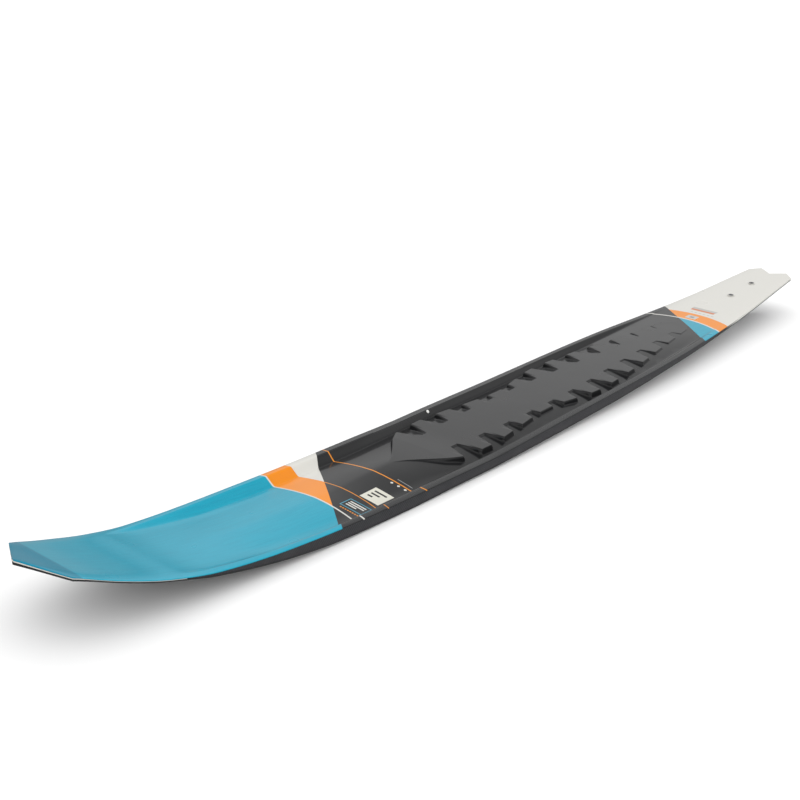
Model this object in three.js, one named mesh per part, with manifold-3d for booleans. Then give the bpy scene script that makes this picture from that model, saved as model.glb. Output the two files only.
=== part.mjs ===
// Single slalom water ski with a moulded fin, deck side up, at its real size in millimetres.
// Section frame: X is the station, from the tail (0) to the tip of the nose. Y is across, + to the
// ski's left. Z is up from the flat middle of the deck. The finished ski is pitched so that it
// stands on the fin and on the front of its base, and moved to its origin at the bottom centre.
import * as THREE from 'three';
import { mergeVertices } from 'three/addons/utils/BufferGeometryUtils.js';
import Module from 'manifold-3d';

const wasm = await Module();
wasm.setup();

// ---- driving dimensions ----
const LENGTH = 1702;
const NOSE_CORNER = { station: 1671, halfWidth: 54 };
const NOSE_FACET = { station: 1661, drop: 2.8 };
const TIP_HALF_WIDTH = 1.2;
const TAIL_CORNER = { station: 15.7, halfWidth: 42 };
const TAIL_TIP = { station: 0, halfWidth: 25.4 };
const TAIL_NOTCH_STATION = 19.5;
const DECK_THICKNESS = 0.8;
const BASE_THICKNESS = 1.2;
const LAMINATE_THICKNESS = 0.5;
const BOND_GAP = 0.3;
const WALL_GAP = 0.6;
const BASE_BEVEL_WIDTH = 8;
const CROWN_POWER = 1.6;
const REST_PITCH = THREE.MathUtils.degToRad(1.859);

// Smooth curves along the ski, as [station, value].
const rocker = curve([[0, 14], [100, 8.8], [200, 3.6], [300, 0.8], [400, 0], [1000, 0], [1100, 2.9],
  [1250, 8], [1400, 17.2], [1500, 28.6], [1560, 42.6], [1620, 63.3], [NOSE_CORNER.station, 85],
  [LENGTH, 100]]);
const outline = curve([[0, 42], [200, 59], [400, 75.5], [500, 82], [600, 85.2], [800, 88], [1000, 92],
  [1150, 91.5], [1300, 90], [1400, 86.8], [1500, 80.5], [1600, 69], [NOSE_CORNER.station, 54]]);
const baseDepth = curve([[0, 6.6], [200, 7.3], [300, 8.4], [420, 10.4], [520, 12.2], [620, 15.6],
  [720, 18.2], [820, 18.6], [1000, 16.8], [1100, 17.6], [1200, 19], [1320, 18.9], [1390, 16.1],
  [1450, 11.7], [1500, 7.8], [1550, 5.3], [1640, 5.2], [NOSE_CORNER.station, 6.9], [LENGTH, 9.7]]);
const bevelDepth = curve([[0, 0.9], [400, 1.4], [1400, 1.6], [1540, 0.7], [LENGTH, 0.7]]);
const tunnelDepth = curve([[250, 0], [500, 2.2], [1300, 2.5], [1500, 0]]);
const edgeDrop = curve([[0, 0.8], [300, 1], [1000, 1.2], [LENGTH, 1.2]]);
const rimWidth = curve([[0, 8], [500, 9], [1000, 11], [1150, 11], [1350, 8.5], [LENGTH, 9]]);
const floorEdge = curve([[0, 31], [300, 56.5], [400, 61], [600, 67.5], [850, 71.5], [1000, 74],
  [1140, 70], [1300, 69], [1400, 65.5], [1560, 62], [NOSE_CORNER.station, 42]]);
const floorDepth = curve([[300, 0], [400, 2.2], [500, 6], [600, 8.5], [850, 10], [1000, 10.5],
  [1140, 12], [1300, 12.2], [1400, 9.8], [1450, 6.2], [1500, 2.8], [1545, 0]]);
const crownDepth = curve([[1060, 0], [1125, 1.2], [1250, 6.5], [1340, 6.5], [1450, 3.5], [1545, 0]]);

// Raised foot plateau: a toothed outline round two lobes, one for each foot.
const NOTCH_COUNT = 12;
const NOTCH_PITCH = 55.1;
const FIRST_NOTCH_STATION = 1016;
const NOTCH_FLOOR_LENGTH = 14;
const NOTCH_REAR_RUN = 9;
const NOTCH_FRONT_RUN = 13;
const FULL_NOTCH_DEPTH = 40;
const notchHalfWidth = curve([[409, 14.2], [575, 22.5], [686, 31.2], [740, 34.4], [795, 36], [850, 36.3],
  [905, 35.4], [960, 33.2], [1016, 27.9]]);
const toothHalfWidth = curve([[380, 26], [500, 42], [600, 57], [710, 65], [830, 47.5], [900, 55],
  [990, 65], [1045, 60]]);
const ARROW = [[1045, 60], [1066, 48], [1107, 13], [1125, 8]];
const PLATEAU_REAR = { station: 350, halfWidth: 8 };
const FIRST_TOOTH_STATION = 380;

// Fin and its fastening, in the fin frame: the deck surface over the middle of the fin.
const FIN_STATION = 132;
const FIN_SLOPE = 0.0535;
const SCREW_STATIONS = { rear: 92, front: 172 };
const SCREW = { shankRadius: 2.5, headRadius: 4.6, headTop: 2.6, length: 17 };
const HOLE_RADIUS = 2.8;
const WASHER = { outer: 6.2, bottom: 0.3 };
const GASKET = { length: 164, width: 24, top: -7.75, thickness: 1 };
const FLANGE = { length: 168, width: 26, top: -9.05, thickness: 4 };
const BLADE = { thickness: 2.2, bevel: 0.8, depth: 43, rear: -70, front: 72, tipRear: -46, tipFront: -18 };
const BOSS = { radius: 7, depth: 14 };
const INSERT = { outer: 4, length: 8.5 };
const VENT = { station: 951, radius: 2.6, stem: 1.5, wallShare: 0.72 };

const SIDEWALL_INSET = 1.5;
const SIDEWALL_START = 29;
const TAIL_FLUSH_END = 25;
const RETENTION = { halfWidth: 40, depth: 9, front: [880, 1050], rear: [600, 770] };
const STATIONS = [0, SIDEWALL_START, 60, 100, 150, 200, 238, 300, 350, 400, 460, 520, 580, 640, 700, 770, 820,
  880, 940, 1000, 1050, 1100, 1150, 1200, 1250, 1300, 1350, 1400, 1440, 1480, 1510, 1541, 1570, 1600,
  1630, NOSE_FACET.station, NOSE_CORNER.station, 1687, LENGTH];
const BLOCK_END = 237;
const CORE_START = 240;
const CORE_END = 1541;
const TIP_BLOCK_START = 1544;

const COLOURS = {
  deck: 0x1f2022, base: 0x17181a, carbon: 0x2b2c2e, glass: 0xc9c6a8, foam: 0xe8dfc0, cream: 0xd8d4c4,
  plate: 0x8a7f5a, fin: 0x101113, rubber: 0x0c0c0c, steel: 0xb9bcc0, brass: 0xb08d45, white: 0xf2f2f0,
};

// ---- curves and sections ----
// Monotone cubic through the points; level stretches stay exactly level, and the ends are held.
function curve(points) {
  const slope = (i) => (points[i + 1][1] - points[i][1]) / (points[i + 1][0] - points[i][0]);
  const tangent = points.map((_, i) => {
    if (i === 0) return slope(0);
    if (i === points.length - 1) return slope(i - 1);
    const before = slope(i - 1);
    const after = slope(i);
    return before * after <= 0 ? 0 : 2 * before * after / (before + after);
  });
  return (x) => {
    if (x <= points[0][0]) return points[0][1];
    if (x >= points[points.length - 1][0]) return points[points.length - 1][1];
    const i = points.findIndex((_, k) => x < points[k + 1][0]);
    const span = points[i + 1][0] - points[i][0];
    const t = (x - points[i][0]) / span;
    const rise = points[i + 1][1] - points[i][1];
    return points[i][1] + t * t * (3 - 2 * t) * rise
      + span * t * (1 - t) * ((1 - t) * tangent[i] - t * tangent[i + 1]);
  };
}

// Straight lines through [x, value] points.
function polyline(points, x) {
  const i = Math.max(0, points.findIndex((_, k) => k === points.length - 2 || x < points[k + 1][0]));
  const t = (x - points[i][0]) / (points[i + 1][0] - points[i][0]);
  return THREE.MathUtils.lerp(points[i][1], points[i + 1][1], t);
}

// Beyond the nose corners the section keeps its shape and narrows to the tip.
const sectionStation = (s) => Math.min(s, NOSE_CORNER.station);
function noseScale(s) {
  const run = Math.max(0, s - NOSE_CORNER.station) / (LENGTH - NOSE_CORNER.station);
  return THREE.MathUtils.lerp(1, TIP_HALF_WIDTH / NOSE_CORNER.halfWidth, run);
}
const noseDrop = (s) => NOSE_FACET.drop * Math.max(0, s - NOSE_FACET.station) / (LENGTH - NOSE_FACET.station);

function crown(s, y) {
  const edge = floorEdge(sectionStation(s));
  const middle = crownDepth(s);
  return -(middle + (floorDepth(s) - middle) * Math.pow(Math.min(y / edge, 1), CROWN_POWER));
}

// Corners of the toothed plateau outline, from its rear end to its arrow-shaped front.
function plateauCorners() {
  const corners = [[PLATEAU_REAR.station, PLATEAU_REAR.halfWidth],
    [FIRST_TOOTH_STATION, toothHalfWidth(FIRST_TOOTH_STATION)]];
  for (let k = NOTCH_COUNT - 1; k >= 0; k -= 1) {
    const rear = FIRST_NOTCH_STATION - NOTCH_PITCH * k;
    const front = rear + NOTCH_FLOOR_LENGTH;
    const share = Math.min(1, (toothHalfWidth(rear) - notchHalfWidth(rear)) / FULL_NOTCH_DEPTH);
    const rearRun = NOTCH_REAR_RUN * share;
    const frontRun = NOTCH_FRONT_RUN * share;
    corners.push([rear - rearRun, toothHalfWidth(rear - rearRun)], [rear, notchHalfWidth(rear)]);
    corners.push([front, notchHalfWidth(rear)], [front + frontRun, toothHalfWidth(front + frontRun)]);
  }
  return [...corners, ...ARROW];
}
const PLATEAU = plateauCorners();
const onPlateau = (s) => s >= PLATEAU[0][0] && s <= PLATEAU[PLATEAU.length - 1][0];

// Half sections, as [y, z] points from the centre line outwards.
function deckTop(s) {
  const c = sectionStation(s);
  const edge = floorEdge(c);
  const foot = onPlateau(s) ? polyline(PLATEAU, s) : PLATEAU_REAR.halfWidth;
  const mid = (foot + 1 + edge) / 2;
  const level = -crownDepth(s);
  return [[0, level], [foot, onPlateau(s) ? level : crown(s, foot)], [foot + 1, crown(s, foot + 1)],
    [mid, crown(s, mid)], [edge, -floorDepth(s)], [outline(c) - rimWidth(c), 0], [outline(c), -edgeDrop(s)]];
}

function deckUnder(s) {
  const c = sectionStation(s);
  const edge = floorEdge(c);
  const under = (y) => crown(s, y) - DECK_THICKNESS;
  return [[0, under(0)], [0.4 * edge, under(0.4 * edge)], [0.75 * edge, under(0.75 * edge)],
    [edge + 1, under(edge)], [outline(c) - rimWidth(c) + 0.5, -DECK_THICKNESS],
    [outline(c), -edgeDrop(s) - DECK_THICKNESS]];
}

function baseUnder(s) {
  const w = outline(sectionStation(s));
  const depth = -baseDepth(s);
  return [[0, depth + tunnelDepth(s)], [w / 2, depth + 0.65 * tunnelDepth(s)],
    [w - BASE_BEVEL_WIDTH, depth], [w, depth + bevelDepth(s)]];
}

// The underside between two stations is straight, so that it lies flat on the layer below it.
function straightUnder(s) {
  const k = Math.max(0, STATIONS.findIndex((station) => s <= station) - 1);
  const [a, b] = [STATIONS[k], STATIONS[k + 1]];
  const t = (s - a) / (b - a);
  const [start, end] = [deckUnder(a), deckUnder(b)];
  return start.map(([y, z], i) => [THREE.MathUtils.lerp(y, end[i][0], t),
    THREE.MathUtils.lerp(z + rocker(a), end[i][1] + rocker(b), t) - rocker(s)]);
}

const shifted = (half, dz) => half.map(([y, z]) => [y, z + dz]);
// The part of a half section out to half-width y.
function trimmed(half, y) {
  return [...half.filter((p) => p[0] < y - 0.05), [y, polyline(half, y)]];
}
const innerHalfWidth = (s) => floorEdge(s) + SIDEWALL_INSET - WALL_GAP;

// The nose facet lowers the top of a layer, and also its underside where facetUnder says so.
function ring(s, top, bottom, facetUnder = false) {
  const scale = noseScale(s);
  const point = ([y, z], side, facet) => [s, y * side * scale, z + rocker(s) - facet];
  const right = (half, facet) => half.map((p) => point(p, 1, facet));
  const left = (half, facet) => half.slice(1).map((p) => point(p, -1, facet));
  const drop = noseDrop(s);
  const under = facetUnder ? drop : 0;
  return [...right(top, drop), ...right(bottom, under).reverse(), ...left(bottom, under),
    ...left(top, drop).reverse()];
}

// ---- solids ----
function toGeometry(positions, index) {
  const geometry = new THREE.BufferGeometry();
  geometry.setAttribute('position', new THREE.Float32BufferAttribute(positions, 3));
  geometry.setIndex(index);
  return geometry;
}

function signedVolume(points, index) {
  const [a, b, c] = [new THREE.Vector3(), new THREE.Vector3(), new THREE.Vector3()];
  let volume = 0;
  for (let i = 0; i < index.length; i += 3) {
    a.fromArray(points[index[i]]);
    b.fromArray(points[index[i + 1]]);
    c.fromArray(points[index[i + 2]]);
    volume += a.dot(b.cross(c));
  }
  return volume;
}

// Closed solid through equal-length rings. Diagonals run outwards and forwards on every layer, so
// that layers stay parallel, and each flat end is a fan round its middle.
function loft(rings) {
  const count = rings[0].length;
  const points = rings.flat();
  const index = [];
  for (let r = 0; r < rings.length - 1; r += 1) {
    for (let i = 0; i < count; i += 1) {
      const a = r * count + i;
      const b = r * count + (i + 1) % count;
      const outwards = Math.abs(points[a][1]) <= Math.abs(points[b][1]);
      index.push(...(outwards ? [a, b, b + count, a, b + count, a + count]
        : [a, b, a + count, b, b + count, a + count]));
    }
  }
  for (const r of [0, rings.length - 1]) {
    const middle = [0, 1, 2].map((axis) => rings[r].reduce((sum, p) => sum + p[axis], 0) / count);
    for (let i = 0; i < count; i += 1) {
      const edge = [r * count + i, r * count + (i + 1) % count];
      index.push(points.length, ...(r === 0 ? edge.reverse() : edge));
    }
    points.push(middle);
  }
  if (signedVolume(points, index) < 0) index.reverse();
  return toGeometry(points.flat(), index);
}

function toSolid(geometry) {
  const bare = geometry.clone();
  bare.deleteAttribute('normal');
  bare.deleteAttribute('uv');
  const merged = mergeVertices(bare, 1e-4);
  return new wasm.Manifold(new wasm.Mesh({
    numProp: 3,
    vertProperties: Float32Array.from(merged.attributes.position.array),
    triVerts: Uint32Array.from(merged.index.array),
  }));
}
function fromSolid(solid) {
  const mesh = solid.getMesh();
  return toGeometry([...mesh.vertProperties], [...mesh.triVerts]);
}
function cut(geometry, ...tools) {
  return fromSolid(tools.reduce((solid, tool) => solid.subtract(toSolid(tool)), toSolid(geometry)));
}
function join(...geometries) {
  return fromSolid(geometries.map(toSolid).reduce((whole, piece) => whole.add(piece)));
}

const between = (from, to) => STATIONS.filter((s) => s > from && s < to);
const spaced = (from, to) => [from, ...between(from + 0.5, to - 0.5), to];

// Vertical prism on an outline in the X-Y plane, right through the ski.
function prism(points) {
  const shape = new THREE.Shape(points.map(([x, y]) => new THREE.Vector2(x, y)));
  return new THREE.ExtrudeGeometry(shape, { depth: 200, bevelEnabled: false }).translate(0, 0, -100);
}

// Swallow tail: the notch and the two clipped corners.
function tailCutters() {
  const { station: tip, halfWidth: tipHalf } = TAIL_TIP;
  const { station: corner, halfWidth: cornerHalf } = TAIL_CORNER;
  const beyond = tipHalf * (1 + 10 / TAIL_NOTCH_STATION);
  const notch = prism([[-10, -beyond], [TAIL_NOTCH_STATION, 0], [-10, beyond]]);
  const slope = (cornerHalf - tipHalf) / (corner - tip);
  const clip = (side) => prism([[-5, side * (tipHalf - 5 * slope)],
    [corner + 5, side * (cornerHalf + 5 * slope)], [-5, side * (cornerHalf + 5 * slope)]]);
  return [notch, clip(1), clip(-1)];
}

// ---- fin frame and holes ----
const finFrame = new THREE.Matrix4().makeRotationY(FIN_SLOPE)
  .setPosition(FIN_STATION, 0, rocker(FIN_STATION));
const screwOffset = (station) => (station - FIN_STATION) / Math.cos(FIN_SLOPE);

function cylinder(radius, bottom, top, segments = 20) {
  return new THREE.CylinderGeometry(radius, radius, top - bottom, segments)
    .rotateX(Math.PI / 2).translate(0, 0, (top + bottom) / 2);
}
function screwHoles() {
  return Object.values(SCREW_STATIONS).map((station) => cylinder(HOLE_RADIUS, -30, 30)
    .translate(screwOffset(station), 0, 0).applyMatrix4(finFrame));
}

// The vent plug stands square to the inner wall of the right-hand rail, just under its crest.
function ventFrame() {
  const crest = outline(VENT.station) - rimWidth(VENT.station);
  const edge = floorEdge(VENT.station);
  const wallY = THREE.MathUtils.lerp(edge, crest, VENT.wallShare);
  const wallZ = -floorDepth(VENT.station) * (1 - VENT.wallShare) + rocker(VENT.station);
  const lean = Math.atan2(floorDepth(VENT.station), crest - edge);
  return new THREE.Matrix4().makeRotationX(-lean).setPosition(VENT.station, -wallY, wallZ);
}

// ---- pieces ----
function deckSheet() {
  const stations = [...new Set([...STATIONS, ...PLATEAU.map(([s]) => s)])].sort((a, b) => a - b);
  const body = loft(stations.map((s) => ring(s, deckTop(s), straightUnder(s), true)));
  const vent = cylinder(VENT.stem + BOND_GAP, -5, 5, 12).applyMatrix4(ventFrame());
  return cut(body, ...tailCutters(), ...screwHoles(), vent);
}

function baseSheet() {
  const body = loft(STATIONS.map((s) => ring(s, shifted(baseUnder(s), BASE_THICKNESS), baseUnder(s))));
  return cut(body, ...tailCutters(), ...screwHoles());
}

const upperTop = (s, y) => trimmed(shifted(deckUnder(s), -BOND_GAP), y);
const lowerBottom = (s, y) => trimmed(shifted(baseUnder(s), BASE_THICKNESS + BOND_GAP), y);
const coreTop = (s, y) => shifted(upperTop(s, y), -LAMINATE_THICKNESS - BOND_GAP);
const coreBottom = (s, y) => shifted(lowerBottom(s, y), LAMINATE_THICKNESS + BOND_GAP);

function laminate(half, thickness) {
  const body = loft(spaced(SIDEWALL_START, CORE_END).map((s) => {
    const surface = half(s, innerHalfWidth(s));
    return ring(s, thickness < 0 ? surface : shifted(surface, thickness),
      thickness < 0 ? shifted(surface, thickness) : surface);
  }));
  return cut(body, ...screwHoles());
}

function retentionBlock([from, to]) {
  return loft(spaced(from, to).map((s) => {
    const top = coreTop(s, RETENTION.halfWidth);
    return ring(s, top, [[0, -RETENTION.depth], [RETENTION.halfWidth, -RETENTION.depth]]);
  }));
}

function foamCore() {
  const body = loft(spaced(CORE_START, CORE_END)
    .map((s) => ring(s, coreTop(s, innerHalfWidth(s)), coreBottom(s, innerHalfWidth(s)))));
  const pocket = ([from, to]) => new THREE.BoxGeometry(
    to - from + 2 * BOND_GAP, 2 * (RETENTION.halfWidth + BOND_GAP), 40)
    .translate((from + to) / 2, 0, 20 - RETENTION.depth - BOND_GAP);
  return cut(body, pocket(RETENTION.front), pocket(RETENTION.rear));
}

function tailBlock() {
  const flush = [0, TAIL_FLUSH_END]
    .map((s) => ring(s, upperTop(s, outline(s)), lowerBottom(s, outline(s))));
  const inner = spaced(TAIL_FLUSH_END + 2, BLOCK_END).map((s) => ring(s, coreTop(s, innerHalfWidth(s)),
    coreBottom(s, innerHalfWidth(s))));
  return cut(join(loft(flush), loft(inner), tailNeck()), ...tailCutters(), ...screwHoles());
}
// The neck joins the flush tail end of the block to its narrower inner part.
function tailNeck() {
  const y = innerHalfWidth(TAIL_FLUSH_END) - 2;
  return loft([TAIL_FLUSH_END - 1, TAIL_FLUSH_END + 3]
    .map((s) => ring(s, coreTop(s, y), coreBottom(s, y))));
}

function tipBlock() {
  const stations = [TIP_BLOCK_START, ...between(TIP_BLOCK_START, LENGTH), LENGTH];
  return loft(stations.map((s) => {
    const w = outline(sectionStation(s));
    return ring(s, upperTop(s, w), lowerBottom(s, w));
  }));
}

function sidewall(side) {
  const body = loft(spaced(SIDEWALL_START, CORE_END).map((s) => {
    const w = outline(s);
    const inner = floorEdge(s) + SIDEWALL_INSET;
    const under = shifted(baseUnder(s), BASE_THICKNESS + BOND_GAP);
    const bevel = w - BASE_BEVEL_WIDTH;
    const section = [[w, -edgeDrop(s) - DECK_THICKNESS - BOND_GAP],
      [w - rimWidth(s) + 0.8, -DECK_THICKNESS - BOND_GAP - 0.1],
      [inner, -floorDepth(s) - DECK_THICKNESS - 0.6], [inner, polyline(under, inner)],
      [bevel, polyline(under, bevel)], [w, polyline(under, w)]];
    return section.map(([y, z]) => [s, side * y, z + rocker(s)]);
  }));
  if (side > 0) return body;
  return cut(body, cylinder(VENT.stem + BOND_GAP, -6, 6, 12).applyMatrix4(ventFrame()));
}

function lathe(profile, segments = 20) {
  const points = profile.map(([r, z]) => new THREE.Vector2(r, z));
  return new THREE.LatheGeometry(points, segments).rotateX(Math.PI / 2);
}

function finScrew() {
  const { shankRadius: r, headRadius: head, headTop, length } = SCREW;
  return lathe([[0, -length], [r - 0.8, -length], [r, -length + 1.5], [r, -0.1], [head, 2],
    [head * 0.7, 2.45], [0, headTop]]);
}
function finWasher() {
  return lathe([[3.4, WASHER.bottom], [WASHER.outer, WASHER.bottom], [5.6, 1.6], [4.98, 1.88],
    [3.4, WASHER.bottom]]);
}
function finInsert() {
  const top = FLANGE.top - BOND_GAP;
  const bottom = top - INSERT.length;
  return lathe([[HOLE_RADIUS, bottom], [INSERT.outer, bottom], [INSERT.outer, top], [HOLE_RADIUS, top],
    [HOLE_RADIUS, bottom]]);
}

// Flat plate with round ends, lying under the tail.
function plate(length, width, top, thickness) {
  const r = width / 2;
  const half = length / 2 - r;
  const shape = new THREE.Shape();
  shape.moveTo(-half, -r);
  shape.lineTo(half, -r);
  shape.absarc(half, 0, r, -Math.PI / 2, Math.PI / 2);
  shape.lineTo(-half, r);
  shape.absarc(-half, 0, r, Math.PI / 2, 1.5 * Math.PI);
  return new THREE.ExtrudeGeometry(shape, { depth: thickness, bevelEnabled: false, curveSegments: 8 })
    .translate(0, 0, top - thickness);
}
const finHoles = (radius, bottom, top) => Object.values(SCREW_STATIONS)
  .map((station) => cylinder(radius, bottom, top).translate(screwOffset(station), 0, 0));

function finGasket() {
  return cut(plate(GASKET.length, GASKET.width, GASKET.top, GASKET.thickness),
    ...finHoles(HOLE_RADIUS, -20, 0));
}

// Blade outline in the plane of the fin: swept leading edge, round tip, nearly upright trailing edge.
function finBlade() {
  const { thickness, bevel, depth, rear, front, tipRear, tipFront } = BLADE;
  const root = FLANGE.top - 1;
  const under = FLANGE.top - FLANGE.thickness;
  const tip = under - depth;
  const shape = new THREE.Shape();
  shape.moveTo(front, root);
  shape.lineTo(rear + 2, root);
  shape.lineTo(rear, under - depth / 8);
  shape.quadraticCurveTo(rear + 10, tip + depth / 2, tipRear - 12, tip + depth / 5);
  shape.quadraticCurveTo(tipRear - 10, tip, tipRear, tip);
  shape.lineTo(tipFront, tip);
  shape.bezierCurveTo(tipFront + 28, tip, front - 30, tip + depth / 3, front, under - 2);
  return new THREE.ExtrudeGeometry(shape, { depth: thickness, bevelEnabled: true, bevelThickness: bevel,
    bevelSize: bevel, bevelOffset: -bevel, bevelSegments: 1, curveSegments: 10 })
    .translate(0, 0, -thickness / 2).rotateX(Math.PI / 2);
}
function fin() {
  const flange = plate(FLANGE.length, FLANGE.width, FLANGE.top, FLANGE.thickness);
  const bosses = finHoles(BOSS.radius, FLANGE.top - BOSS.depth, FLANGE.top - 1);
  return cut(join(flange, finBlade(), ...bosses),
    ...finHoles(INSERT.outer + BOND_GAP, FLANGE.top - BOND_GAP - INSERT.length - 1, 0));
}

function ventPlug() {
  return lathe([[0, -4], [VENT.stem, -4], [VENT.stem, 0.3], [VENT.radius, 0.3], [VENT.radius * 0.8, 1],
    [0, 1.4]], 12);
}

// ---- assembly ----
function piece(name, geometry, color, roughness = 0.5, metalness = 0) {
  const mesh = new THREE.Mesh(geometry, new THREE.MeshStandardMaterial({ color, roughness, metalness }));
  mesh.name = name;
  return mesh;
}

const ski = new THREE.Group();
ski.add(
  piece('deck_sheet', deckSheet(), COLOURS.deck, 0.2),
  piece('upper_laminate', laminate(upperTop, -LAMINATE_THICKNESS), COLOURS.carbon, 0.5),
  piece('foam_core', foamCore(), COLOURS.foam, 0.9),
  piece('lower_laminate', laminate(lowerBottom, LAMINATE_THICKNESS), COLOURS.glass, 0.6),
  piece('base_sheet', baseSheet(), COLOURS.base, 0.3),
  piece('tip_block', tipBlock(), COLOURS.cream, 0.5),
  piece('tail_block', tailBlock(), COLOURS.cream, 0.5),
  piece('left_sidewall', sidewall(1), COLOURS.carbon, 0.5),
  piece('right_sidewall', sidewall(-1), COLOURS.carbon, 0.5),
  piece('front_retention_block', retentionBlock(RETENTION.front), COLOURS.plate, 0.7),
  piece('rear_retention_block', retentionBlock(RETENTION.rear), COLOURS.plate, 0.7),
);

const ventPart = piece('vent_plug', ventPlug(), COLOURS.white, 0.4);
ventPart.applyMatrix4(ventFrame());
ski.add(ventPart);

const finAssembly = new THREE.Group();
finAssembly.applyMatrix4(finFrame);
finAssembly.add(
  piece('fin', fin(), COLOURS.fin, 0.45),
  piece('fin_gasket', finGasket(), COLOURS.rubber, 0.9),
);
for (const [place, station] of Object.entries(SCREW_STATIONS)) {
  const stack = new THREE.Group();
  stack.position.x = screwOffset(station);
  stack.add(
    piece(`${place}_fin_screw`, finScrew(), COLOURS.steel, 0.3, 1),
    piece(`${place}_fin_washer`, finWasher(), COLOURS.steel, 0.35, 1),
    piece(`${place}_fin_insert`, finInsert(), COLOURS.brass, 0.4, 1),
  );
  finAssembly.add(stack);
}
ski.add(finAssembly);

// Stand the ski on its fin and base, with the origin under the middle of its length.
ski.rotation.y = REST_PITCH;
const assembly = new THREE.Group();
assembly.add(ski);
assembly.updateMatrixWorld(true);
const bounds = new THREE.Box3().setFromObject(assembly, true);
ski.position.set(-(bounds.min.x + bounds.max.x) / 2, 0, -bounds.min.z);

export default assembly;
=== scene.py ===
import math

import bpy
import numpy as np
from mathutils import Matrix, Vector


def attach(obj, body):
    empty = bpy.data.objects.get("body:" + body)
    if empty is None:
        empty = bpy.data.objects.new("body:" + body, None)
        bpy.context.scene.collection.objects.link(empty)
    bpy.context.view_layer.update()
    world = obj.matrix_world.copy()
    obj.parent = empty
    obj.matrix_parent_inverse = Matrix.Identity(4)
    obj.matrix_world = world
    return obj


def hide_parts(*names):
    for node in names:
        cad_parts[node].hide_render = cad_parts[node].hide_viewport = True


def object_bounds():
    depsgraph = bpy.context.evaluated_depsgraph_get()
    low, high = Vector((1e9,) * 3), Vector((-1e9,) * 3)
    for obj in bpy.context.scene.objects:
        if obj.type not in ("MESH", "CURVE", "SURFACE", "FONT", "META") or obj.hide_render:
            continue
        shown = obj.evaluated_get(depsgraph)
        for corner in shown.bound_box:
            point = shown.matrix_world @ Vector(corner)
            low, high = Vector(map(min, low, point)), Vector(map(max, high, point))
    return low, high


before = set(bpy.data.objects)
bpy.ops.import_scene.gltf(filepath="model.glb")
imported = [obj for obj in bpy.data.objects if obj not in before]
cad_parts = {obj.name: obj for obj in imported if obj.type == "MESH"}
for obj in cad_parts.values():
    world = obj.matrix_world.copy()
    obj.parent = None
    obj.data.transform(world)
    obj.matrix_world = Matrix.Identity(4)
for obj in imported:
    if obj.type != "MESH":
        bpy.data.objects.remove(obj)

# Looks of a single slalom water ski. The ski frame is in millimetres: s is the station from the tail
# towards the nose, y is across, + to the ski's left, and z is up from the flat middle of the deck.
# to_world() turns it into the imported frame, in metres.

cad_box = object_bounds()
MM = 0.001

# ---- driving dimensions, as in the CAD ----
LENGTH = 1702.0
REST_PITCH = math.radians(1.859)
NOSE_CORNER = {"station": 1671.0, "half_width": 54.0}
NOSE_FACET = {"station": 1661.0, "drop": 2.8}
TIP_HALF_WIDTH = 1.2
TAIL_CORNER = {"station": 17.1, "half_width": 43.5}   # where the corner cut meets the outline
TAIL_TIP_HALF_WIDTH = 25.4
TAIL_NOTCH = 19.5
TAIL_WARP = 90.0
DECK_THICKNESS = 0.8
BASE_THICKNESS = 1.2
LAMINATE_THICKNESS = 0.5
BOND_GAP = 0.3
BASE_BEVEL = 8.0
CROWN_POWER = 1.6
CORE_END = 1541.0
TIP_BLOCK_START = 1544.0
TAIL_FLUSH = 25.0                  # the tail block reaches the ski's edge up to this station
TAIL_BLOCK_END = 237.0
TAIL_BLOCK_INSET = 0.9
SIDEWALL_START = 29.0
SIDEWALL_INSET = 1.5
SIDEWALL_GAP = 0.6                 # between a sidewall and the deck sheet over it
CREST_SHIFT = {"deck": 0.5, "sidewall": 0.8}   # how much further out a lower layer has its crest
SIDEWALL_ROUND = [(0.5, 0.0), (0.08, 0.2), (0.0, 0.5)]   # inset from the outer face, height from its edge
SIDEWALL_LIFT = 0.05               # of the inner end of its upper round
FIN_STATION = 132.0
FIN_SLOPE = 0.0535
SCREW_STATIONS = {"rear": 92.0, "front": 172.0}
VENT_STATION = 951.0
VENT_HEIGHT = 0.72

# ---- fin and fastenings, in the fin frame: the deck surface over the middle of the fin ----
FLANGE = {"length": 168.0, "width": 26.0, "top": -9.05, "thickness": 4.0}
FLANGE_RIM = {"top": [(0.0, 0.6), (0.18, 0.18), (0.6, 0.0)],
              "bottom": [(0.9, 0.0), (0.27, 0.27), (0.0, 0.9)]}
BLADE = {"depth": 44.2, "thickness": 3.6, "overlap": 1.2, "rear": -69.0, "front": 72.0, "rear_sweep": 9.0,
         "front_sweep": 96.0, "sweep_power": 1.55}
BLADE_TIP = {"start": 0.86, "rear": 9.0, "front": 8.0}   # round tip, from this share of the depth
BLADE_FLARE = {"width": 2.2, "depth": 4.2}
BLADE_EDGE = 0.14   # blunt share of the foil's thickness
BOSS_DEPTH, BOSS_OVERLAP = 14.0, 1.0
BOSS_PROFILE = [(5.6, 0.0), (6.6, 0.4), (7.0, 1.2), (7.0, 7.5), (7.6, 9.0)]
POCKET = {"radius": 4.3, "bottom": -19.0}
THREAD = {"start": -15.5, "end": -5.0, "pitch": 0.8, "root": 2.1, "crest": 2.45}
THREAD_STEPS = (0.3, 0.45, 0.75)   # where a crest starts, ends and runs out
SCREW_POINT = [(0, -17.0), (1.5, -17.0), (2.1, -16.2)]
SCREW_HEAD = [(2.5, -4.4), (2.5, -0.1), (4.35, 1.78), (4.56, 1.92), (4.6, 2.02), (4.52, 2.12), (4.0, 2.28),
              (3.0, 2.44), (1.8, 2.56), (0.8, 2.6), (0, 2.6)]
RECESS = [(3.2, 2.5, 0.55), (0.9, 1.1, 0.3)]   # height, reach and half-width of the cross
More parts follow.
